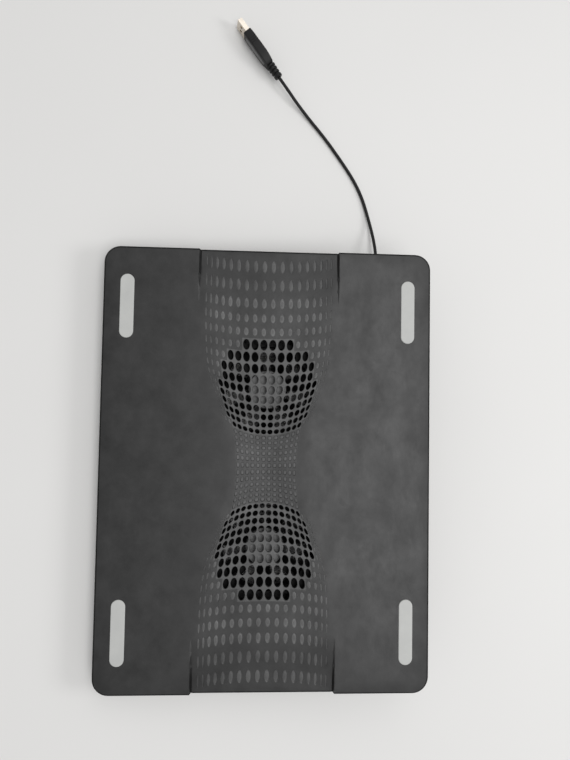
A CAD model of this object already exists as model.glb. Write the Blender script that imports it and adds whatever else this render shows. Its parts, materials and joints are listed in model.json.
"""Laptop cooling pad: the visual model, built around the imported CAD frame.

Lengths are millimetres, and MM turns them into metres. The deck has its own coordinates: x along the
long side, v towards the rear and w out of the deck. The skin, cord and plug use the frame's x, y
and z. The camera, the lights and the floor are given in metres.
"""
import bisect
import json
import math

import bpy
from mathutils import Matrix, Vector, geometry, noise


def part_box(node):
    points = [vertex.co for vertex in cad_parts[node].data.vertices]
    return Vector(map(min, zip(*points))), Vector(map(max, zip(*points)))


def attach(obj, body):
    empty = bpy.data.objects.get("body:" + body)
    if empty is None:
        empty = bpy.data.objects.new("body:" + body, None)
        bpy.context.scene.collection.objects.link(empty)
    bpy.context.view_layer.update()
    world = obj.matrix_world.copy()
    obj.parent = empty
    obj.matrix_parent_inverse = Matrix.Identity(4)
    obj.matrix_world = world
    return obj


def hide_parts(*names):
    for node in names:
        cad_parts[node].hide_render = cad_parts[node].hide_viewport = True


MM = 0.001
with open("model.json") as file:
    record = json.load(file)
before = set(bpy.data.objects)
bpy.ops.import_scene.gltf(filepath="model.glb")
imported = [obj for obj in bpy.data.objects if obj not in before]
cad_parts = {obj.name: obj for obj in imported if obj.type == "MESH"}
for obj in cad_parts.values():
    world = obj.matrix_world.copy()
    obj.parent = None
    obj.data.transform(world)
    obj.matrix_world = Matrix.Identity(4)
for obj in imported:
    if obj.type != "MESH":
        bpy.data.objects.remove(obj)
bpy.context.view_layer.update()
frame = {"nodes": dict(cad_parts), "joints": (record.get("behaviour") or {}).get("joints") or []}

# ---- the deck: its place, taken from the frame, and its sizes ------------------------------------
joints = {joint["name"]: joint for joint in frame["joints"]}
deck_normal = Vector(joints["left_fan_spin"]["axis"]).normalized()
fan_centres = [Vector(joints[name]["pos_m"]) for name in ("left_fan_spin", "right_fan_spin")]
FAN_POINT_DEPTH = 16.0
deck_origin = (fan_centres[0] + fan_centres[1]) / 2 + deck_normal * FAN_POINT_DEPTH * MM
deck_rearward = deck_normal.cross(Vector((1, 0, 0)))
cover_low, cover_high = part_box("top_cover")
SKIRT_DEPTH = 7.0
SKIRT_WALL = 2.4
SKIRT_CHAMFER = 0.5
WIDTH = (cover_high.x - cover_low.x) / MM
DEPTH = ((cover_high.y - cover_low.y) / MM + SKIRT_DEPTH * deck_normal.y) / deck_normal.z
CORNER_RADIUS = 14.0
EDGE_RADIUS = 1.6
ROLL_STEPS = 5
DECK_THICKNESS = 3.0
FAN_OFFSET = abs(fan_centres[1].x) / MM

# ---- the channel and its pattern ----------------------------------------------------------------
CHANNEL_DEPTH = 3.6
DISH_DEPTH = 1.2
CHANNEL_HALF = 62.0
NECK_HALF = 34.0
NECK_SPREAD = 72.0
SLOPE = 34.0
CREASE = 1.1
CREASE_START = 142.0
GROOVE_DEPTH = 0.7
GROOVE_WIDTH = 0.8

ROWS = 21
COLUMNS = 9
COLUMN_ANGLE = 0.127
FIELD_END = 189.2
FIRST_HOLE_ROW, LAST_HOLE_ROW = 7, 16
HOLE_CIRCLE = 43.3
HOLE_CIRCLE_X = 71.0
HOLE_FILL = 0.78
DIMPLE_LENGTH_FILL, DIMPLE_WIDTH_FILL, EDGE_WIDTH_FILL = 0.64, 0.57, 0.42
NECK_FILL = 0.74
NECK_COLUMNS = 6
HOLE_COLUMNS = 7
HOLE_LENGTH_FIRST, HOLE_LENGTH_GROWTH, HOLE_LENGTH_MOST = 0.68, 0.03, 0.84
HOLE_RIM_LONG, HOLE_RIM_WIDE = 0.06, 0.07
DIMPLE_DEPTH = 0.55
DIMPLE_SLOPE_LONG, DIMPLE_SLOPE_WIDE = 0.12, 0.14
DIMPLE_FLOOR_SHARE, DIMPLE_FLOOR_DEPTH_SHARE = 0.55, 0.9
RIM_BEVEL = 0.3
CELL_STEPS = 5

# the pattern's rows, counted from the pad's middle: close at the neck, wider apart past it, and
# spread further after the last field row
NECK_ROWS = 6
LAST_FIELD_ROW = 19
NECK_ROW_STEP, NECK_ROW_CLOSING = 5.6, 0.15
FIELD_ROW_STEP, FIELD_ROW_OPENING = 5.2, 0.295
END_ROW_EXTRA = 3.3
FIELD_HALF, FIELD_WAIST, FIELD_WAIST_SPREAD = 62.5, 24.5, 60.0
BOW_SLOPE = 0.93
BOW_FAR, BOW_EXTRA, BOW_PEAK, BOW_SPREAD = 9.0, 20.0, 38.0, 36.0

# points that fill the flat parts of the deck's sheet
FILL_X, FILL_V, FILL_STEP = 180, 132, 12
FILL_SPACING = 1.0
FILL_EDGE_GAP = 2.5

STRIP_LENGTH = 56.0
STRIP_WIDTH = 12.3
STRIP_POCKET = 1.2
STRIP_X, STRIP_V = 139.5, 123.3

# ---- padded skin ---------------------------------------------------------------------------------
FAN_FLOOR = 23.8
BASE_WALL = 2.4
SKIN_THICKNESS = 2.5
skin_low, skin_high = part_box("lap_skin")
SKIN_WIDTH = (skin_high.x - skin_low.x) / MM
SKIN_DEPTH = (skin_high.y - skin_low.y) / MM
SKIN_CORNER = 13.2
RIDGE_INNER = 94.0
ROOF_HALF = 46.0
ARCH_RADIUS = 26.0
WINDOW_RADIUS = 39.0
WELL_RADIUS = 5.7
SCREW_X, SCREW_Y = 134.0, 104.0
STITCH_INSET = 6.0
STITCH_PITCH = 4.4
SEAM_Y = 62.0
FOAM_EDGE, FOAM_ROUNDING = 0.9, 2.2
FOAM_INNER = 0.05
HOLLOW_DEPTH, HOLLOW_WIDTH = 0.9, 0.9
CROWN_HEIGHT, CROWN_REACH, CROWN_EDGE_GAP = 0.9, 7.0, 2.4
LUMP_HEIGHT, LUMP_SIZE = 0.3, 26.0
FLOOR_FADE = 4.0
SKIN_STEP, WINDOW_STEP, WELL_STEP = 4.0, 3.5, 2.0
SKIN_CELLS_X, SKIN_CELLS_S = 43, 34
EDGE_INSETS = (0.0, 0.4, 1.0, 2.2)
BESIDE_SEAM = (-1.6, -0.8, 0.0, 0.8, 1.6)
WELL_INSET_LIMIT = 3.0
SEAM_GAP, STITCH_GAP, WELL_GAP = 2.6, 2.8, 3.5
OPENING_SHARE = 0.995
STITCH_SECTIONS = ((0.0, 0.12), (0.2, 0.26), (0.5, 0.32), (0.8, 0.26), (1.0, 0.12))
STITCH_SIDES = 6
STITCH_STEP = 1.0
STITCH_LIFT = 0.12

# ---- cord and plug ------------------------------------------------------------------------------
CORD_DIAMETER = 3.0
CORD_ROUTE = [
    (-190.0, 107.5, 14.0), (-201, 107.5, 14.0), (-219, 106.8, 8.4), (-239, 103.8, 2.4),
    (-262, 96.9, 1.5), (-281, 86.6, 1.5), (-301, 71.6, 1.5), (-319, 57.2, 1.5), (-336, 41.0, 2.0),
    (-349, 28.0, 5.2), (-360.84, 17.21, 8.4), (-369.4, 10.3, 8.4),
]
PLUG_START = Vector((-369.4, 10.3, 8.4))
PLUG_AXIS = Vector((-0.778, -0.628, 0)).normalized()
PLUG_LEAN = math.radians(12)
PLUG_UP = Vector((0, 0, 1)) * math.cos(PLUG_LEAN) + Vector((0, 0, 1)).cross(PLUG_AXIS) * math.sin(PLUG_LEAN)
PLUG_SIDE = PLUG_AXIS.cross(PLUG_UP)
BOOT_LENGTH = 14.0
BODY_LENGTH = 36.0
PLUG_HEIGHT, PLUG_WIDTH = 15.8, 8.4
SHELL_HEIGHT, SHELL_WIDTH = 12.0, 4.5
COLLARS = 3
COLLAR_SIZE, COLLAR_GROWTH = 7.9, 0.4
ROUND, SQUARE, SHELL_SHARE = 1.0, 0.17, 0.05
GRIP_GROOVES, GRIP_GROOVE_PITCH = 3, 2.2
PANEL_MIDDLE = 18.5
PANEL_HALF_LENGTH, PANEL_HALF_HEIGHT = 14.5, 4.4
PANEL_TAPER = 0.22
PANEL_SOFTNESS = 0.6
PANEL_RINGS = ((1.0, -0.5), (1.0, 0.10), (0.96, 0.28), (0.86, 0.36), (0.5, 0.42), (0.2, 0.44))
PLUG_SIDES = 48

# ---- camera ------------------------------------------------------------------------------------
CAMERA_PLACE = Vector((-0.0562, -0.0739, 0.5259))
CAMERA_FORWARD = Vector((-0.0435, 0.1804, -0.9826))
CAMERA_RIGHT = Vector((-0.0168, 0.9833, 0.1813))
CAMERA_LENS = 26.53
FLOOR_HALF = 6.0
FLOOR_SINK = 0.0002


def deck_point(x, v, w):
    """Row-frame point, in metres, of deck coordinates in millimetres."""
    return deck_origin + (Vector((x, 0, 0)) + deck_rearward * v + deck_normal * w) * MM


def new_object(name, verts, faces, materials, face_materials=None, sharp_above=40.0):
    mesh = bpy.data.meshes.new(name)
    mesh.from_pydata([tuple(point) for point in verts], [], faces)
    for material in materials:
        mesh.materials.append(material)
    if face_materials:
        mesh.polygons.foreach_set("material_index", face_materials)
    mesh.polygons.foreach_set("use_smooth", [True] * len(mesh.polygons))
    mesh.set_sharp_from_angle(angle=math.radians(sharp_above))
    mesh.update()
    made = bpy.data.objects.new(name, mesh)
    bpy.context.scene.collection.objects.link(made)
    return made


def band_faces(start, rings, count, flip=False):
    """Quads between rings of count points each, which follow one another from vertex start."""
    faces = []
    for r in range(rings - 1):
        a, b = start + r * count, start + (r + 1) * count
        for k in range(count):
            m = (k + 1) % count
            faces.append((a + k, b + k, b + m, a + m) if flip else (a + k, a + m, b + m, b + k))
    return faces


# ---- materials ----------------------------------------------------------------------------------
class Nodes:
    """A material and short ways to add the nodes that all of them use."""

    def __init__(self, name):
        self.material = bpy.data.materials.new(name)
        self.material.use_nodes = True
        self.tree = self.material.node_tree
        self.shader = self.tree.nodes["Principled BSDF"]
        self.place = self.tree.nodes.new("ShaderNodeTexCoord").outputs["Object"]

    def set(self, **values):
        for name, value in values.items():
            self.shader.inputs[name.replace("_", " ")].default_value = value

    def link(self, output, node_input):
        self.tree.links.new(output, node_input)

    def noise(self, scale, detail=3.0, rough=0.5, stretch=(1, 1, 1), distortion=0.0):
        mapping = self.tree.nodes.new("ShaderNodeMapping")
        mapping.inputs["Scale"].default_value = stretch
        self.link(self.place, mapping.inputs["Vector"])
        noise = self.tree.nodes.new("ShaderNodeTexNoise")
        noise.inputs["Scale"].default_value = scale
        noise.inputs["Detail"].default_value = detail
        noise.inputs["Roughness"].default_value = rough
        noise.inputs["Distortion"].default_value = distortion
        self.link(mapping.outputs["Vector"], noise.inputs["Vector"])
        return noise.outputs["Fac"]

    def ramp(self, value, *stops):
        ramp = self.tree.nodes.new("ShaderNodeValToRGB")
        elements = ramp.color_ramp.elements
        while len(elements) < len(stops):
            elements.new(0.5)
        for element, (position, color) in zip(elements, stops):
            element.position = position
            element.color = (*color, 1) if hasattr(color, "__len__") else (color, color, color, 1)
        self.link(value, ramp.inputs["Fac"])
        return ramp.outputs["Color"]

    def mix(self, factor, first, second, blend="MIX"):
        mix = self.tree.nodes.new("ShaderNodeMix")
        mix.data_type = "RGBA"
        mix.blend_type = blend
        for value, socket in ((factor, mix.inputs[0]), (first, mix.inputs[6]), (second, mix.inputs[7])):
            if isinstance(value, bpy.types.NodeSocket):
                self.link(value, socket)
            else:
                socket.default_value = value if isinstance(value, float) else (*value, 1)
        return mix.outputs[2]

    def math(self, operation, first, second):
        node = self.tree.nodes.new("ShaderNodeMath")
        node.operation = operation
        for value, socket in ((first, node.inputs[0]), (second, node.inputs[1])):
            if isinstance(value, bpy.types.NodeSocket):
                self.link(value, socket)
            else:
                socket.default_value = value
        return node.outputs[0]

    def color(self, output):
        self.link(output, self.shader.inputs["Base Color"])

    def roughness(self, output):
        self.link(output, self.shader.inputs["Roughness"])

    def bump(self, height, distance_mm, strength=1.0):
        """Adds a bump on top of the ones before it."""
        bump = self.tree.nodes.new("ShaderNodeBump")
        bump.inputs["Strength"].default_value = strength
        bump.inputs["Distance"].default_value = distance_mm * MM
        self.link(height, bump.inputs["Height"])
        earlier = self.shader.inputs["Normal"].links
        if earlier:
            self.link(earlier[0].from_socket, bump.inputs["Normal"])
        self.link(bump.outputs["Normal"], self.shader.inputs["Normal"])


def grey(level):
    return (level, level, level)


def deck_plastic(name, level, grain_mm, rough_low, rough_high, shine=0.5):
    """Charcoal moulding with a fine spark-eroded grain, faint clouding and hairline scuffs."""
    made = Nodes(name)
    cloud = made.noise(48, detail=8, rough=0.70)
    clouded = made.ramp(cloud, (0.34, grey(level * 0.58)), (0.66, grey(level * 1.42)))
    grain = made.noise(2600, detail=2, rough=0.7)
    speckled = made.ramp(grain, (0.35, grey(0.86)), (0.65, grey(1.0)))
    base = made.mix(1.0, clouded, speckled, "MULTIPLY")
    scuff = made.noise(34, detail=6, rough=0.75, stretch=(1, 9, 9), distortion=0.6)
    scuffed = made.ramp(scuff, (0.66, 0.0), (0.74, 0.18))
    made.color(made.mix(scuffed, base, grey(level * 1.7)))
    smear = made.noise(30, detail=8, rough=0.78, stretch=(1, 1.4, 1.4))
    made.roughness(made.ramp(smear, (0.32, rough_low), (0.68, rough_high)))
    made.bump(grain, grain_mm)
    made.bump(made.noise(700, detail=2), grain_mm * 0.8, 0.6)
    made.set(Specular_IOR_Level=shine)
    return made.material


def grip_rubber():
    made = Nodes("grip_rubber")
    cloud = made.noise(60, detail=5, rough=0.65)
    base = made.ramp(cloud, (0.3, (0.455, 0.46, 0.45)), (0.7, (0.50, 0.505, 0.49)))
    grime = made.noise(190, detail=6, rough=0.8)
    made.color(made.mix(made.ramp(grime, (0.6, 0.0), (0.8, 0.35)), base, (0.36, 0.36, 0.345)))
    made.roughness(made.ramp(cloud, (0.3, 0.62), (0.7, 0.74)))
    made.bump(made.noise(3400, detail=2), 0.04)
    made.set(Specular_IOR_Level=0.35)
    return made.material


def moulded_black(name, level, roughness, grain_scale, grain_mm, shine=0.5):
    made = Nodes(name)
    cloud = made.noise(45, detail=4)
    made.color(made.ramp(cloud, (0.3, grey(level * 0.85)), (0.7, grey(level * 1.15))))
    made.roughness(made.ramp(cloud, (0.3, roughness - 0.05), (0.7, roughness + 0.06)))
    made.bump(made.noise(grain_scale, detail=2), grain_mm)
    made.set(Specular_IOR_Level=shine)
    return made.material


def metal(name, color, roughness, scratch_stretch, scratch_mm=0.006):
    made = Nodes(name)
    scratch = made.noise(900, detail=3, rough=0.6, stretch=scratch_stretch)
    tarnish = made.noise(160, detail=5, rough=0.65)
    dark = tuple(channel * 0.72 for channel in color)
    made.color(made.mix(made.ramp(tarnish, (0.45, 0.0), (0.75, 0.7)), color, dark))
    made.roughness(made.ramp(scratch, (0.3, roughness), (0.7, roughness + 0.14)))
    made.bump(scratch, scratch_mm)
    made.set(Metallic=1.0)
    return made.material


def neoprene():
    """Knit-faced foam: a fine jersey of staggered stitches over soft unevenness."""
    made = Nodes("neoprene")
    across = made.tree.nodes.new("ShaderNodeTexWave")
    across.inputs["Scale"].default_value = 310
    across.bands_direction = "X"
    along = made.tree.nodes.new("ShaderNodeTexWave")
    along.inputs["Scale"].default_value = 220
    along.bands_direction = "Y"
    for wave in (across, along):
        wave.inputs["Distortion"].default_value = 0.6
        wave.inputs["Detail"].default_value = 1.0
        made.link(made.place, wave.inputs["Vector"])
    stitch = made.math("MULTIPLY", across.outputs["Fac"], along.outputs["Fac"])
    fuzz = made.noise(2400, detail=3, rough=0.7)
    shade = made.ramp(stitch, (0.1, grey(0.012)), (0.9, grey(0.034)))
    made.color(made.mix(made.ramp(fuzz, (0.4, 0.0), (0.8, 0.45)), shade, grey(0.05)))
    made.roughness(made.ramp(fuzz, (0.3, 0.86), (0.7, 0.96)))
    made.bump(stitch, 0.18)
    made.bump(made.noise(60, detail=3), 0.35, 0.6)
    made.set(Sheen_Weight=0.25, Sheen_Roughness=0.5, Specular_IOR_Level=0.2)
    return made.material


def thread_black():
    made = Nodes("thread_black")
    twist = made.noise(2200, detail=3, rough=0.6)
    made.color(made.ramp(twist, (0.3, grey(0.035)), (0.7, grey(0.075))))
    made.bump(twist, 0.05)
    made.set(Roughness=0.7, Sheen_Weight=0.3, Specular_IOR_Level=0.3)
    return made.material


def label_film():
    made = Nodes("label_film")
    cloud = made.noise(120, detail=4)
    made.color(made.ramp(cloud, (0.3, grey(0.14)), (0.7, grey(0.18))))
    made.roughness(made.ramp(made.noise(300, detail=3), (0.3, 0.48), (0.7, 0.58)))
    made.bump(made.noise(500, detail=2), 0.01)
    return made.material


def circuit_board():
    made = Nodes("circuit_board")
    trace = made.noise(500, detail=1, stretch=(1, 0.3, 1))
    made.color(made.ramp(trace, (0.48, (0.012, 0.09, 0.03)), (0.52, (0.03, 0.17, 0.06))))
    made.bump(made.ramp(trace, (0.48, 0.0), (0.52, 1.0)), 0.03)
    made.set(Roughness=0.35)
    return made.material


def winding():
    made = Nodes("winding")
    wave = made.tree.nodes.new("ShaderNodeTexWave")
    wave.bands_direction = "Z"
    wave.inputs["Scale"].default_value = 900
    made.link(made.place, wave.inputs["Vector"])
    made.color(made.ramp(wave.outputs["Fac"], (0.2, (0.22, 0.06, 0.015)), (0.7, (0.62, 0.24, 0.08))))
    made.bump(wave.outputs["Fac"], 0.1)
    made.set(Metallic=0.8, Roughness=0.35)
    return made.material


# the deck's faces name their plastic by its place in this list
MATTE, DIMPLE_EDGE, DIMPLE_FLOOR, HOLE_WEB, NECK_RIM, NECK_WEB, DECK_RIM = range(7)
DECK_PLASTICS = [
    deck_plastic("deck_matte", 0.019, 0.05, 0.33, 0.51),
    deck_plastic("dimple_edge", 0.105, 0.02, 0.36, 0.44),
    deck_plastic("dimple_floor", 0.072, 0.03, 0.38, 0.46),
    deck_plastic("hole_web", 0.064, 0.04, 0.37, 0.45),
    deck_plastic("neck_rim", 0.006, 0.03, 0.42, 0.50),
    deck_plastic("neck_web", 0.032, 0.04, 0.37, 0.46),
    deck_plastic("deck_rim", 0.007, 0.05, 0.50, 0.62, shine=0.2),
]
node_materials = {
    "grip_strip": grip_rubber(),
    "base_shell": moulded_black("base_black", 0.030, 0.55, 1800, 0.05),
    "fan_frame": moulded_black("fan_black", 0.005, 0.66, 900, 0.012, shine=0.15),
    "impeller": moulded_black("rotor_black", 0.005, 0.60, 700, 0.010, shine=0.15),
    "hub_label": label_film(),
    "bearing": metal("sintered_bronze", (0.50, 0.33, 0.16), 0.45, (1, 1, 1), 0.02),
    "stator_core": metal("core_steel", (0.42, 0.42, 0.44), 0.38, (0.2, 0.2, 8)),
    "rotor_yoke": metal("yoke_steel", (0.48, 0.48, 0.50), 0.32, (0.3, 0.3, 4)),
    "rotor_magnet": moulded_black("magnet_black", 0.035, 0.62, 1500, 0.03),
    "coils": winding(),
    "motor_board": circuit_board(),
    "shaft": metal("shaft_steel", (0.62, 0.62, 0.64), 0.18, (4, 4, 0.3), 0.002),
    "cover_screws": metal("screw_black", (0.16, 0.16, 0.17), 0.36, (1, 1, 1)),
    "fan_screws": metal("screw_zinc", (0.45, 0.45, 0.46), 0.34, (1, 1, 1)),
    "cord_relief": moulded_black("relief_black", 0.020, 0.50, 1600, 0.03),
    "splice_sleeve": moulded_black("sleeve_black", 0.016, 0.42, 700, 0.02),
    "fan_lead": moulded_black("lead_black", 0.014, 0.38, 900, 0.01),
    "usb_shell": metal("plug_nickel", (0.70, 0.64, 0.56), 0.22, (3, 3, 0.5), 0.003),
    "usb_tongue": moulded_black("tongue_cream", 0.66, 0.38, 600, 0.01),
    "usb_contacts": metal("contact_gold", (0.80, 0.58, 0.22), 0.22, (1, 1, 1), 0.003),
}
for node_name, node in frame["nodes"].items():
    for stem, material in node_materials.items():
        if node_name.startswith(stem):
            node.data.materials.clear()
            node.data.materials.append(material)


# ---- deck -----------------------------------------------------------------------------------------
def smooth_step(value):
    t = min(1.0, max(0.0, value))
    return t * t * (3 - 2 * t)


def channel_half(x):
    return CHANNEL_HALF - (CHANNEL_HALF - NECK_HALF) * math.exp(-((x / NECK_SPREAD) ** 2))


def crease_share(x):
    """0 inboard, where the channel is a soft dish, and 1 at the short edges, where it is creased."""
    return smooth_step((abs(x) - CREASE_START) / (WIDTH / 2 - CREASE_START))


def channel_drop(x, v):
    """How far the channel lies below the deck plane at (x, v)."""
    half = channel_half(x)
    share = crease_share(x)
    dish = smooth_step((half - abs(v)) / min(SLOPE, half))
    step = smooth_step((CHANNEL_HALF - abs(v)) / CREASE)
    past_foot = abs(abs(v) - CHANNEL_HALF + CREASE) / GROOVE_WIDTH
    groove = GROOVE_DEPTH * share * share * max(0.0, 1 - past_foot)
    return DISH_DEPTH * dish * (1 - share) + CHANNEL_DEPTH * step * share + groove


def row_place(row):
    """Distance of a row of the pattern from the pad's middle; past the neck the rows spread out."""
    step = min(row, NECK_ROWS) - 0.5
    past = max(0.0, row - NECK_ROWS)
    far = max(0.0, row - LAST_FIELD_ROW)
    neck = NECK_ROW_STEP * step - NECK_ROW_CLOSING * step**2
    return neck + FIELD_ROW_STEP * past + FIELD_ROW_OPENING * past**2 + END_ROW_EXTRA * far


def row_reach(x):
    """Radius of the arc that sets a row's columns: least at the neck."""
    return FIELD_HALF - FIELD_WAIST * math.exp(-((x / FIELD_WAIST_SPREAD) ** 2))


def row_bow(x):
    """How far a row's sides would be bent away from the pad's middle at a quarter turn."""
    return min(BOW_SLOPE * x, BOW_FAR + BOW_EXTRA * math.exp(-(((x - BOW_PEAK) / BOW_SPREAD) ** 2)))


def hole_length(row):
    """Share of its row that a hole takes up: the rows by the neck are the shorter ones."""
    return min(HOLE_LENGTH_MOST, HOLE_LENGTH_FIRST + HOLE_LENGTH_GROWTH * (row - FIRST_HOLE_ROW))


def lattice(i, j):
    """Deck (x, v) of pattern coordinates: ten steps to a row or column, both 0 in the middle."""
    x_row = row_place(abs(i) / 10 + 0.5)
    angle = COLUMN_ANGLE * j / 10
    x = min(x_row + row_bow(x_row) * (1 - math.cos(angle)), FIELD_END)
    return math.copysign(x, i) if i else x, row_reach(x_row) * math.sin(angle)


def outline(inset, w_of):
    """The deck's rounded outline, moved inwards, with closer points where the channel meets it."""
    half_x, half_v = WIDTH / 2, DEPTH / 2
    foot = CHANNEL_HALF - CREASE
    side = [-120, -106, -92, -80, -70, -CHANNEL_HALF - 1.2, -CHANNEL_HALF - 0.4, -CHANNEL_HALF]
    side += [-foot - 0.9, -foot - 0.5, -foot]
    side += [-foot + 0.5, -foot + GROOVE_WIDTH, -57, -50, -40, -20]
    across = side + [0] + [-v for v in reversed(side)]
    along = [-170 + 20 * k for k in range(18)]
    loop = []

    def corner(sx, sv, first):
        for k in range(9):
            angle = math.radians(first + 90 * k / 8)
            radius = CORNER_RADIUS - inset
            loop.append(
                (
                    sx * (half_x - CORNER_RADIUS) + radius * math.cos(angle),
                    sv * (half_v - CORNER_RADIUS) + radius * math.sin(angle),
                )
            )

    corner(1, -1, -90)
    loop.extend((half_x - inset, v) for v in across)
    corner(1, 1, 0)
    loop.extend((-x, half_v - inset) for x in along)
    corner(-1, 1, 90)
    loop.extend((-half_x + inset, -v) for v in across)
    corner(-1, -1, 180)
    loop.extend((x, -half_v + inset) for x in along)
    return [(x, v, w_of(x, v)) for x, v in loop]


def inside(point, loop):
    """True if the point lies inside the closed loop of (x, v) points."""
    x, v = point
    crossings = 0
    for (x0, v0), (x1, v1) in zip(loop, loop[1:] + loop[:1]):
        if (v0 > v) != (v1 > v) and x < (x1 - x0) * (v - v0) / (v1 - v0) + x0:
            crossings += 1
    return crossings % 2 == 1


def strip_loop(sx, sv):
    """The obround outline of one grip strip's pocket."""
    half, radius = (STRIP_LENGTH - STRIP_WIDTH) / 2, STRIP_WIDTH / 2
    loop = []
    for end, first in ((1, -90), (-1, 90)):
        for k in range(13):
            angle = math.radians(first + 180 * k / 12)
            loop.append(
                (
                    sx * STRIP_X + end * half + radius * math.cos(angle),
                    sv * STRIP_V + radius * math.sin(angle),
                )
            )
    return loop


class Shell:
    """The deck's mesh: an upper and a lower sheet that share their loops."""

    def __init__(self):
        self.verts, self.faces, self.kinds = [], [], []

    def add(self, x, v, w):
        self.verts.append(deck_point(x, v, w))
        return len(self.verts) - 1

    def face(self, corners, kind=MATTE):
        self.faces.append(tuple(corners))
        self.kinds.append(kind)

    def bridge(self, first, second, kind=MATTE):
        """Quads between two loops of the same length; first is the outer or upper one."""
        count = len(first)
        for k in range(count):
            m = (k + 1) % count
            self.face((first[k], first[m], second[m], second[k]), kind)


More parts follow.
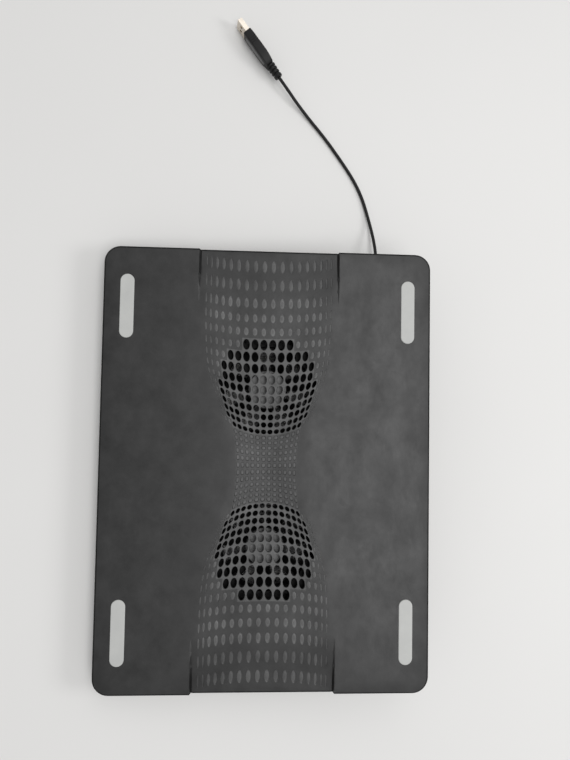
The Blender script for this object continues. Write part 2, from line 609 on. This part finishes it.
def build_deck():
    shell = Shell()
    grid = {}

    def sheet_pair(x, v):
        drop = channel_drop(x, v)
        return shell.add(x, v, -drop), shell.add(x, v, -drop - DECK_THICKNESS)

    def grid_pair(i, j):
        if (i, j) not in grid:
            grid[i, j] = sheet_pair(*lattice(i, j))
        return grid[i, j]

    def ring(i, j, long_fill, wide_fill, w):
        """Oval loop round a cell's middle, in step with the cell's own edge points."""
        loop = []
        for k in range(4 * CELL_STEPS):
            angle = math.radians(-135 + 90 * k / CELL_STEPS)
            x, v = lattice(
                i + 5 * long_fill * math.cos(angle), j + 5 * wide_fill * math.sin(angle)
            )
            loop.append(shell.add(x, v, w - channel_drop(x, v)))
        return loop

    step = 10 // CELL_STEPS
    ramp_up = list(range(-5, 5, step))
    edge = [(a, -5) for a in ramp_up] + [(5, a) for a in ramp_up]
    edge += [(-a, 5) for a in ramp_up] + [(-5, -a) for a in ramp_up]
    for row in range(1, ROWS + 1):
        for column in range(-COLUMNS, COLUMNS):
            x, v = lattice(10 * row - 5, 10 * column + 5)
            rank = abs(column + 0.5)
            is_hole = (
                FIRST_HOLE_ROW <= row <= LAST_HOLE_ROW
                and rank < HOLE_COLUMNS
                and math.hypot(x - HOLE_CIRCLE_X, v) <= HOLE_CIRCLE
            )
            is_neck = row < FIRST_HOLE_ROW
            for side in (-1, 1):
                i, j = side * (10 * row - 5), 10 * column + 5
                pairs = [grid_pair(i + a, j + b) for a, b in edge]
                upper, lower = [p[0] for p in pairs], [p[1] for p in pairs]
                if is_hole:
                    length = hole_length(row)
                    rim = ring(i, j, length + HOLE_RIM_LONG, HOLE_FILL + HOLE_RIM_WIDE, 0.0)
                    lip = ring(i, j, length, HOLE_FILL, -RIM_BEVEL)
                    foot = ring(i, j, length, HOLE_FILL, -DECK_THICKNESS)
                    shell.bridge(upper, rim, HOLE_WEB)
                    shell.bridge(rim, lip, HOLE_WEB)
                    shell.bridge(lip, foot)
                    shell.bridge(foot, lower)
                    continue
                shell.face(reversed(lower))
                if is_neck and rank > NECK_COLUMNS:
                    shell.face(upper)
                    continue
                if is_neck:
                    length = width = NECK_FILL
                else:
                    length = DIMPLE_LENGTH_FILL
                    width = DIMPLE_WIDTH_FILL if rank < COLUMNS - 2 else EDGE_WIDTH_FILL
                kinds = (MATTE, DIMPLE_EDGE, DIMPLE_EDGE, DIMPLE_FLOOR)
                if is_neck:
                    kinds = (NECK_WEB, NECK_RIM, DIMPLE_FLOOR, DIMPLE_FLOOR)
                if row > ROWS - 2:
                    kinds = (MATTE, DIMPLE_FLOOR, DIMPLE_FLOOR, HOLE_WEB)
                rim = ring(i, j, length, width, 0.0)
                wall = ring(i, j, length - DIMPLE_SLOPE_LONG, width - DIMPLE_SLOPE_WIDE, -DIMPLE_DEPTH)
                floor_length, floor_width = length * DIMPLE_FLOOR_SHARE, width * DIMPLE_FLOOR_SHARE
                floor = ring(i, j, floor_length, floor_width, -DIMPLE_DEPTH * DIMPLE_FLOOR_DEPTH_SHARE)
                shell.bridge(upper, rim, kinds[0])
                shell.bridge(rim, wall, kinds[1])
                shell.bridge(wall, floor, kinds[2])
                shell.face(floor, kinds[3])

    # everything outside the patterned field is one triangulated sheet
    reach_i, reach_j = 10 * ROWS, 10 * COLUMNS
    keys = [(i, -reach_j) for i in range(-reach_i, reach_i, step)]
    keys += [(reach_i, j) for j in range(-reach_j, reach_j, step)]
    keys += [(i, reach_j) for i in range(reach_i, -reach_i, -step)]
    keys += [(-reach_i, j) for j in range(reach_j, -reach_j, -step)]
    field = [lattice(*key) for key in keys]
    flat_edge = outline(EDGE_RADIUS, lambda x, v: -channel_drop(x, v))
    strips = [strip_loop(sx, sv) for sx in (-1, 1) for sv in (-1, 1)]
    loops = [field, [(x, v) for x, v, w in flat_edge]] + strips
    points, edges = [], []
    for loop in loops:
        start = len(points)
        points.extend(loop)
        edges.extend((start + k, start + (k + 1) % len(loop)) for k in range(len(loop)))
    fixed = len(points)
    for sign in (-1, 1):
        for x5 in range(-37, 38):
            x = x5 * 5.0
            if crease_share(x):
                foot = CHANNEL_HALF - CREASE
                offsets = (CREASE + 1.2, CREASE + 0.4, CREASE, 0.8, 0.4, 0, -0.4, -GROOVE_WIDTH, -2)
                points.extend((x, sign * (foot + offset)) for offset in offsets)
                continue
            half = channel_half(x)
            wall = min(SLOPE, half)
            points.extend((x, sign * (half - wall * share)) for share in (0.0, 0.06, 0.12, 0.2, 0.3, 0.45))
    for x in range(-FILL_X, FILL_X + 1, FILL_STEP):
        for v in range(-FILL_V, FILL_V + 1, FILL_STEP):
            points.append((float(x), float(v)))
    keep = []
    for k, point in enumerate(points):
        if k < fixed:
            keep.append(True)
            continue
        x, v = point
        clear = all(abs(x - p[0]) + abs(v - p[1]) > FILL_SPACING for p in points[:fixed])
        well_in = abs(x) < WIDTH / 2 - FILL_EDGE_GAP and abs(v) < DEPTH / 2 - FILL_EDGE_GAP
        keep.append(clear and well_in)
    points = [point for point, kept in zip(points, keep) if kept]
    made = geometry.delaunay_2d_cdt([Vector(p) for p in points], edges, [], 0, 1e-4)
    spots, faces, origins = made[0], made[2], made[3]
    pairs = {}
    for k, spot in enumerate(spots):
        old = [o for o in origins[k] if o < len(keys)]
        pairs[k] = grid[keys[old[0]]] if old else None
    flat_loop = loops[1]
    for face in faces:
        middle = sum((spots[k] for k in face), Vector((0, 0))) / len(face)
        middle = (middle.x, middle.y)
        if not inside(middle, flat_loop) or inside(middle, field):
            continue
        if any(inside(middle, loop) for loop in strips):
            continue
        for k in face:
            if pairs[k] is None:
                pairs[k] = sheet_pair(spots[k].x, spots[k].y)
        shell.face([pairs[k][0] for k in face])
        shell.face([pairs[k][1] for k in reversed(face)])

    def found(loop_index):
        """The sheet vertices of one of the input loops, in its own order."""
        start = sum(len(loop) for loop in loops[:loop_index])
        place = {o: k for k, origin in enumerate(origins) for o in origin}
        return [pairs[place[start + k]] for k in range(len(loops[loop_index]))]

    for index, loop in enumerate(strips):
        around = found(2 + index)
        upper = [pair[0] for pair in around]
        foot = [shell.add(x, v, -STRIP_POCKET) for x, v in loop]
        shell.bridge(upper, foot)
        shell.face(foot)
        shell.face([pair[1] for pair in reversed(around)])

    # rolled edge, skirt and the skirt's inner face
    around = found(1)
    previous = [pair[0] for pair in around]
    for k in range(1, ROLL_STEPS + 1):
        turn = math.radians(90 * k / ROLL_STEPS)
        inset = EDGE_RADIUS * (1 - math.sin(turn))
        sink = EDGE_RADIUS * (1 - math.cos(turn))
        loop = outline(inset, lambda x, v: -sink - channel_drop(x, v))
        current = [shell.add(*point) for point in loop]
        shell.bridge(current, previous, DECK_RIM)
        previous = current
    skirt = [(0.0, -SKIRT_DEPTH + SKIRT_CHAMFER)]
    skirt += [(inset, -SKIRT_DEPTH) for inset in (SKIRT_CHAMFER, SKIRT_WALL)]
    for inset, w in skirt:
        current = [shell.add(*point) for point in outline(inset, lambda x, v: w)]
        shell.bridge(current, previous, DECK_RIM)
        previous = current
    inner = outline(SKIRT_WALL, lambda x, v: 0.0)
    for pair, (x, v, w) in zip(around, inner):
        shell.verts[pair[1]] = deck_point(x, v, -DECK_THICKNESS - channel_drop(x, v))
    shell.bridge([pair[1] for pair in around], previous)
    deck = new_object(
        "deck_cover", shell.verts, shell.faces, DECK_PLASTICS, shell.kinds,
        sharp_above=25.0,
    )
    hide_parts("top_cover")
    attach(deck, "pad")


build_deck()


# ---- padded skin under the base -------------------------------------------------------------------
def underside_path():
    """Points (y, z) along the underside from the front edge to the rear, its corners rounded."""
    skin_depth = FAN_FLOOR + BASE_WALL + SKIN_THICKNESS
    roof = []
    for y in (-ROOF_HALF, ROOF_HALF):
        along = (y * MM - deck_point(0, 0, -skin_depth).y) / deck_rearward.y
        roof.append((y, (deck_point(0, 0, -skin_depth) + deck_rearward * along).z / MM))
    corners = [(-SKIN_DEPTH / 2, 0.0), (-RIDGE_INNER, 0.0), *roof, (RIDGE_INNER, 0.0), (SKIN_DEPTH / 2, 0.0)]
    corners = [Vector(corner) for corner in corners]
    path = [corners[0]]
    for before, corner, after in zip(corners, corners[1:], corners[2:]):
        into, out = (corner - before).normalized(), (after - corner).normalized()
        turn = into.angle(out)
        tangent = ARCH_RADIUS * math.tan(turn / 2)
        start, end = corner - into * tangent, corner + out * tangent
        for k in range(9):
            share = k / 8
            path.append(start.lerp(corner, share).lerp(corner.lerp(end, share), share))
    return path + [corners[-1]]


def rounded_rectangle(half_x, half_y, radius, step):
    """Closed loop of points about a step apart."""
    loop = []
    straight_x = max(2, round(2 * (half_x - radius) / step))
    straight_y = max(2, round(2 * (half_y - radius) / step))
    spots = ((1, -1, straight_y), (1, 1, straight_x), (-1, 1, straight_y), (-1, -1, straight_x))
    for quarter, (sx, sy, straight) in enumerate(spots):
        centre = Vector((sx * (half_x - radius), sy * (half_y - radius)))
        for k in range(9):
            angle = math.radians(90 * (quarter - 1) + 90 * k / 8)
            loop.append(centre + Vector((math.cos(angle), math.sin(angle))) * radius)
        turned = math.radians(90 * quarter)
        out = Vector((math.cos(turned), math.sin(turned))) * radius
        next_sx, next_sy, _ = spots[(quarter + 1) % 4]
        goal = Vector((next_sx * (half_x - radius), next_sy * (half_y - radius)))
        loop.extend(centre.lerp(goal, k / straight) + out for k in range(1, straight))
    return loop


def circle(x, s, radius, step):
    count = max(20, round(2 * math.pi * radius / step))
    angles = [2 * math.pi * k / count for k in range(count)]
    return [Vector((x + radius * math.cos(angle), s + radius * math.sin(angle))) for angle in angles]


def build_skin(material, thread):
    path = underside_path()
    lengths = [0.0]
    for a, b in zip(path, path[1:]):
        lengths.append(lengths[-1] + (b - a).length)
    half_s = lengths[-1] / 2

    def at(s):
        """Place (y, z) and outward normal at a distance s from the middle of the path."""
        wanted = min(max(s + half_s, 0.0), lengths[-1] - 1e-6)
        k = bisect.bisect_right(lengths, wanted) - 1
        ahead = path[k + 1] - path[k]
        place = path[k] + ahead * ((wanted - lengths[k]) / (lengths[k + 1] - lengths[k]))
        ahead.normalize()
        return place, Vector((ahead.y, -ahead.x))

    def s_of(y):
        k = next(k for k in range(1, len(path)) if path[k].x >= y)
        share = (y - path[k - 1].x) / (path[k].x - path[k - 1].x)
        return lengths[k - 1] + (lengths[k] - lengths[k - 1]) * share - half_s

    middle = s_of(deck_point(0, 0, -FAN_FLOOR - BASE_WALL - SKIN_THICKNESS).y / MM)
    windows = [(side * FAN_OFFSET, middle, WINDOW_RADIUS) for side in (-1, 1)]
    wells = [(x, s_of(y), WELL_RADIUS) for x in (-SCREW_X, 0, SCREW_X) for y in (-SCREW_Y, SCREW_Y)]
    half_x = SKIN_WIDTH / 2
    seams = [s_of(-SEAM_Y), s_of(SEAM_Y)]

    def edge_distance(x, s):
        qx, qs = abs(x) - half_x + SKIN_CORNER, abs(s) - half_s + SKIN_CORNER
        return SKIN_CORNER - math.hypot(max(qx, 0), max(qs, 0)) - min(max(qx, qs), 0)

    def depth_out(x, s):
        """Thickness of the foam at a point: rounded at its edges and pulled in along its seams."""
        bound = min([edge_distance(x, s)] + [math.hypot(x - a, s - b) - r for a, b, r in windows])
        well = min(math.hypot(x - a, s - b) - r for a, b, r in wells)
        rim = min(1.0, max(0.0, min(bound, well)) / FOAM_ROUNDING)
        thick = FOAM_EDGE + (SKIN_THICKNESS - FOAM_EDGE) * math.sqrt(max(0.0, 1 - (1 - rim) ** 2))
        seam = min(abs(bound - STITCH_INSET), *(abs(s - line) for line in seams))
        hollow = HOLLOW_DEPTH * math.exp(-((seam / HOLLOW_WIDTH) ** 2))
        off_floor = smooth_step(at(s)[0].y / FLOOR_FADE)
        crown = CROWN_HEIGHT * off_floor * (1 - math.exp(-seam / CROWN_REACH))
        crown *= min(1.0, bound / STITCH_INSET)
        lumps = LUMP_HEIGHT * off_floor * noise.noise(Vector((x / LUMP_SIZE, s / LUMP_SIZE, 0)))
        return thick - hollow + (crown + lumps) * (1.0 if bound > CROWN_EDGE_GAP else 0.0)

    points, edges = [], []

    def add_loop(loop, closed=True):
        start = len(points)
        points.extend(loop)
        last = len(loop) if closed else len(loop) - 1
        edges.extend((start + k, start + (k + 1) % len(loop)) for k in range(last))

    for inset in [*EDGE_INSETS, *(STITCH_INSET + shift for shift in BESIDE_SEAM)]:
        add_loop(rounded_rectangle(half_x - inset, half_s - inset, SKIN_CORNER - inset, SKIN_STEP))
        for x, s, radius in windows:
            add_loop(circle(x, s, radius + inset, WINDOW_STEP))
        if inset < WELL_INSET_LIMIT:
            for x, s, radius in wells:
                add_loop(circle(x, s, radius + inset, WELL_STEP))
    reach = half_x - STITCH_INSET - SEAM_GAP
    count = int(2 * reach / SKIN_STEP)
    along_seam = [-reach + 2 * reach * k / count for k in range(count + 1)]
    for line in seams:
        for shift in BESIDE_SEAM:
            add_loop([Vector((x, line + shift)) for x in along_seam], False)
    clear = STITCH_INSET + STITCH_GAP
    for kx in range(-SKIN_CELLS_X, SKIN_CELLS_X + 1):
        for ks in range(-SKIN_CELLS_S, SKIN_CELLS_S + 1):
            x, s = kx * SKIN_STEP, ks * SKIN_STEP
            bound = min([edge_distance(x, s)] + [math.hypot(x - a, s - b) - r for a, b, r in windows])
            well = min(math.hypot(x - a, s - b) - r for a, b, r in wells)
            off_seams = all(abs(s - line) > SEAM_GAP for line in seams)
            if bound > clear and well > WELL_GAP and off_seams:
                points.append(Vector((x, s)))
    spots, _, triangles, *_ = geometry.delaunay_2d_cdt(points, edges, [], 0, 1e-4)
    verts, faces = [], []
    for spot in spots:
        place, out = at(spot.y)
        inner = place - out * SKIN_THICKNESS
        for thick in (depth_out(spot.x, spot.y), FOAM_INNER):
            low = inner + out * thick
            verts.append(Vector((spot.x, low.x, max(low.y, 0.0))) * MM)
    boundary = {}
    for triangle in triangles:
        centre = sum((spots[k] for k in triangle), Vector((0, 0))) / len(triangle)
        if edge_distance(centre.x, centre.y) < 0:
            continue
        openings = windows + wells
        if any(math.hypot(centre.x - a, centre.y - b) < r * OPENING_SHARE for a, b, r in openings):
            continue
        faces.append([2 * k for k in reversed(triangle)])
        faces.append([2 * k + 1 for k in triangle])
        for a, b in zip(triangle, [*triangle[1:], triangle[0]]):
            if (b, a) in boundary:
                del boundary[b, a]
            else:
                boundary[a, b] = True
    for a, b in boundary:
        faces.append([2 * a, 2 * b, 2 * b + 1, 2 * a + 1])
    skin = new_object("padded_skin", verts, faces, [material], sharp_above=60.0)
    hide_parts("lap_skin")
    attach(skin, "pad")

    # stitches lying in the hollows
    reach = half_x - STITCH_INSET
    border = rounded_rectangle(reach, half_s - STITCH_INSET, SKIN_CORNER - STITCH_INSET, STITCH_STEP)
    lines = [border] + [circle(x, s, radius + STITCH_INSET, STITCH_STEP) for x, s, radius in windows]
    for line in lines:
        line.append(line[0])
    lines += [[Vector((x, line)) for x in range(-int(reach), int(reach))] for line in seams]
    verts, faces = [], []
    for line in lines:
        travelled = 0.0
        start = line[0]
        for a, b in zip(line, line[1:]):
            travelled += (b - a).length
            if travelled < STITCH_PITCH:
                continue
            ends = start.lerp(b, 0.12), start.lerp(b, 0.88)
            start, travelled = b, 0.0
            base = len(verts)
            for share, size in STITCH_SECTIONS:
                spot = ends[0].lerp(ends[1], share)
                side = (ends[1] - ends[0]).normalized().orthogonal()
                for k in range(STITCH_SIDES):
                    turn = math.radians(360 / STITCH_SIDES * k)
                    shifted = spot + side * size * math.cos(turn)
                    place, out = at(shifted.y)
                    height = depth_out(spot.x, spot.y) + STITCH_LIFT + size * math.sin(turn)
                    low = place - out * (SKIN_THICKNESS - height)
                    verts.append(Vector((shifted.x, low.x, low.y)) * MM)
            faces += band_faces(base, len(STITCH_SECTIONS), STITCH_SIDES)
            last = base + (len(STITCH_SECTIONS) - 1) * STITCH_SIDES
            faces.append([base + k for k in reversed(range(STITCH_SIDES))])
            faces.append([last + k for k in range(STITCH_SIDES)])
    stitches = new_object("skin_stitches", verts, faces, [thread])
    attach(stitches, "pad")


build_skin(neoprene(), thread_black())


# ---- cord -----------------------------------------------------------------------------------------
def spline_object(name, points_mm, diameter_mm, material):
    curve = bpy.data.curves.new(name, "CURVE")
    curve.dimensions = "3D"
    spline = curve.splines.new("NURBS")
    spline.points.add(len(points_mm) - 1)
    for spline_point, point in zip(spline.points, points_mm):
        spline_point.co = (*(coordinate * MM for coordinate in point), 1)
    spline.order_u = 3
    spline.use_endpoint_u = True
    spline.resolution_u = 24
    curve.bevel_depth = diameter_mm / 2 * MM
    curve.bevel_resolution = 6
    curve.use_fill_caps = True
    curve.materials.append(material)
    made = bpy.data.objects.new(name, curve)
    bpy.context.scene.collection.objects.link(made)
    return made


cord_black = moulded_black("cord_black", 0.006, 0.45, 1500, 0.02, shine=0.3)
cord = spline_object("usb_cord", CORD_ROUTE, CORD_DIAMETER, cord_black)
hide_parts("power_cord")
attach(cord, "pad")


# ---- plug -----------------------------------------------------------------------------------------
def plug_point(along, up, out):
    """Point in metres, from millimetres along the plug, above its middle and out to one side."""
    return (PLUG_START + PLUG_AXIS * along + PLUG_UP * up + PLUG_SIDE * out) * MM


def plug_ring(along, height, width, share):
    """Superellipse loop across the plug: share 1 is an ellipse, a small share nearly a rectangle."""
    loop = []
    for k in range(PLUG_SIDES):
        angle = 2 * math.pi * k / PLUG_SIDES
        c, s = math.cos(angle), math.sin(angle)
        up = math.copysign(abs(c) ** share, c) * height / 2
        out = math.copysign(abs(s) ** share, s) * width / 2
        loop.append(plug_point(along, up, out))
    return loop


def lofted(name, profile, material):
    """Closed body through the plug rings of a profile: rows of along, height, width, share."""
    verts = []
    for row in profile:
        verts.extend(plug_ring(*row))
    faces = band_faces(0, len(profile), PLUG_SIDES, flip=True)
    last = (len(profile) - 1) * PLUG_SIDES
    faces.append(tuple(range(PLUG_SIDES)))
    faces.append(tuple(last + k for k in reversed(range(PLUG_SIDES))))
    return new_object(name, verts, faces, [material])


def boot_profile():
    """Round collars that get thicker towards the plug's body, with a neck between each two."""
    profile = [(0.0, 4.2, 4.2, ROUND), (0.0, 6.9, 6.9, ROUND), (0.5, 7.8, 7.8, ROUND)]
    profile.append((2.6, COLLAR_SIZE, COLLAR_SIZE, ROUND))
    pitch = (BOOT_LENGTH - 3.4) / COLLARS
    for k in range(COLLARS):
        at = 3.0 + k * pitch
        size = COLLAR_SIZE + COLLAR_GROWTH * k
        neck = size - 2.2
        profile += [(at, size - 0.6, size - 0.6, ROUND), (at + 0.25, neck, neck, ROUND)]
        profile += [(at + 1.15, neck, neck, ROUND), (at + 1.4, size - 0.5, size - 0.5, ROUND)]
        profile.append((at + 1.7, size + 0.3, size + 0.1, ROUND))
        profile.append((at + pitch - 0.3, size + 0.5, size + 0.2, ROUND))
    return profile + [(BOOT_LENGTH - 0.2, 7.6, 7.0, 0.9)]


def body_profile():
    """The grip: lower at both ends, with grooves across it near the front."""
    start, end = BOOT_LENGTH, BOOT_LENGTH + BODY_LENGTH
    profile = [(start - 0.1, 8.4, 5.6, 0.6), (start, 9.6, 6.2, 0.5), (start + 0.5, 10.8, 6.9, SQUARE)]
    profile += [(start + 3, 12.6, 7.5, SQUARE), (start + 7, 14.8, 8.1, SQUARE)]
    profile += [(start + 11, PLUG_HEIGHT, PLUG_WIDTH, SQUARE), (start + 21, PLUG_HEIGHT, PLUG_WIDTH, SQUARE)]
    for k in range(GRIP_GROOVES):
        at = start + 22.5 + GRIP_GROOVE_PITCH * k
        height = PLUG_HEIGHT - 0.15 * k
        profile += [(at, height, PLUG_WIDTH, SQUARE), (at + 0.2, height - 0.5, PLUG_WIDTH - 0.3, SQUARE)]
        profile.append((at + 0.8, height - 0.5, PLUG_WIDTH - 0.3, SQUARE))
        profile.append((at + 1.0, height, PLUG_WIDTH, SQUARE))
    profile += [(start + 31, 15.0, PLUG_WIDTH, SQUARE), (end - 1.2, 14.0, 8.2, SQUARE)]
    profile += [(end - 0.3, 13.7, 7.9, SQUARE), (end, 13.0, 7.2, SQUARE)]
    return profile + [(place, SHELL_HEIGHT, SHELL_WIDTH, SHELL_SHARE) for place in (end, end - 1.0)]


def grip_panel(name, side, material):
    """Raised rubber panel with soft ends on one broad face of the grip."""
    middle = BOOT_LENGTH + PANEL_MIDDLE
    verts = []
    for scale, lift in PANEL_RINGS:
        for k in range(PLUG_SIDES):
            angle = 2 * math.pi * k / PLUG_SIDES
            c, s = math.cos(angle), math.sin(angle)
            along = middle + math.copysign(abs(c) ** PANEL_SOFTNESS, c) * PANEL_HALF_LENGTH * scale
            taper = 1 - PANEL_TAPER * (middle - along) / PANEL_HALF_LENGTH
            up = math.copysign(abs(s) ** PANEL_SOFTNESS, s) * PANEL_HALF_HEIGHT * scale * taper
            verts.append(plug_point(along, up, side * (PLUG_WIDTH / 2 + lift)))
    faces = band_faces(0, len(PANEL_RINGS), PLUG_SIDES, flip=side < 0)
    top = [(len(PANEL_RINGS) - 1) * PLUG_SIDES + k for k in range(PLUG_SIDES)]
    faces.append(tuple(top if side > 0 else reversed(top)))
    panel = new_object(name, verts, faces, [material])
    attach(panel, "pad")
    return panel


plug_black = moulded_black("plug_black", 0.006, 0.50, 1500, 0.03, shine=0.32)
plug = lofted("usb_overmould", boot_profile() + body_profile(), plug_black)
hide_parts("usb_plug_body")
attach(plug, "pad")
panel_grey = moulded_black("panel_grey", 0.13, 0.62, 1100, 0.05)
panels = [grip_panel(f"usb_grip_{name}", side, panel_grey) for name, side in (("a", -1), ("b", 1))]


# ---- floor, light and camera ----------------------------------------------------------------------
def build_stage():
    made = Nodes("floor_white")
    cloud = made.noise(2.5, detail=3)
    made.color(made.ramp(cloud, (0.3, (0.715, 0.71, 0.70)), (0.7, (0.735, 0.73, 0.72))))
    made.set(Roughness=0.7, Specular_IOR_Level=0.1)
    signs = ((-1, -1), (1, -1), (1, 1), (-1, 1))
    corners = [Vector((sx * FLOOR_HALF, sy * FLOOR_HALF, -FLOOR_SINK)) for sx, sy in signs]
    floor = new_object("floor", corners, [(0, 1, 2, 3)], [made.material])


def area_light(name, place, aim, size, power, glossy=True):
    light = bpy.data.lights.new(name, "AREA")
    light.shape = "DISK"
    light.size = size
    light.energy = power
    made = bpy.data.objects.new(name, light)
    made.location = place
    made.rotation_euler = (Vector(aim) - Vector(place)).to_track_quat("-Z", "Y").to_euler()
    made.visible_glossy = glossy
    bpy.context.scene.collection.objects.link(made)


def build_camera():
    back = -CAMERA_FORWARD.normalized()
    up = back.cross(CAMERA_RIGHT).normalized()
    right = up.cross(back)
    camera = bpy.data.cameras.new("camera")
    camera.lens = CAMERA_LENS
    camera.sensor_width = 36.0
    made = bpy.data.objects.new("camera", camera)
    made.matrix_world = Matrix.Translation(CAMERA_PLACE) @ Matrix((right, up, back)).transposed().to_4x4()
    bpy.context.scene.collection.objects.link(made)
    bpy.context.scene.camera = made


build_stage()
area_light("overhead_a", place=(-0.32, 0.24, 1.8), aim=(0, 0, 0), size=0.9, power=7.4)
area_light("overhead_b", place=(0.54, 0.24, 1.8), aim=(0, 0, 0), size=0.9, power=7.4)
area_light("side", place=(0.0, 1.3, 1.0), aim=(0, 0.3, 0), size=0.6, power=6.5, glossy=False)
area_light("card", place=(-1.5, 0.1, 1.7), aim=(-0.2, 0, 0), size=1.2, power=4.2)
world = bpy.data.worlds.new("room")
world.use_nodes = True
world.node_tree.nodes["Background"].inputs["Color"].default_value = (1.0, 1.0, 1.0, 1)
world.node_tree.nodes["Background"].inputs["Strength"].default_value = 0.48
bpy.context.scene.world = world
bpy.context.scene.view_settings.view_transform = "Standard"
build_camera()
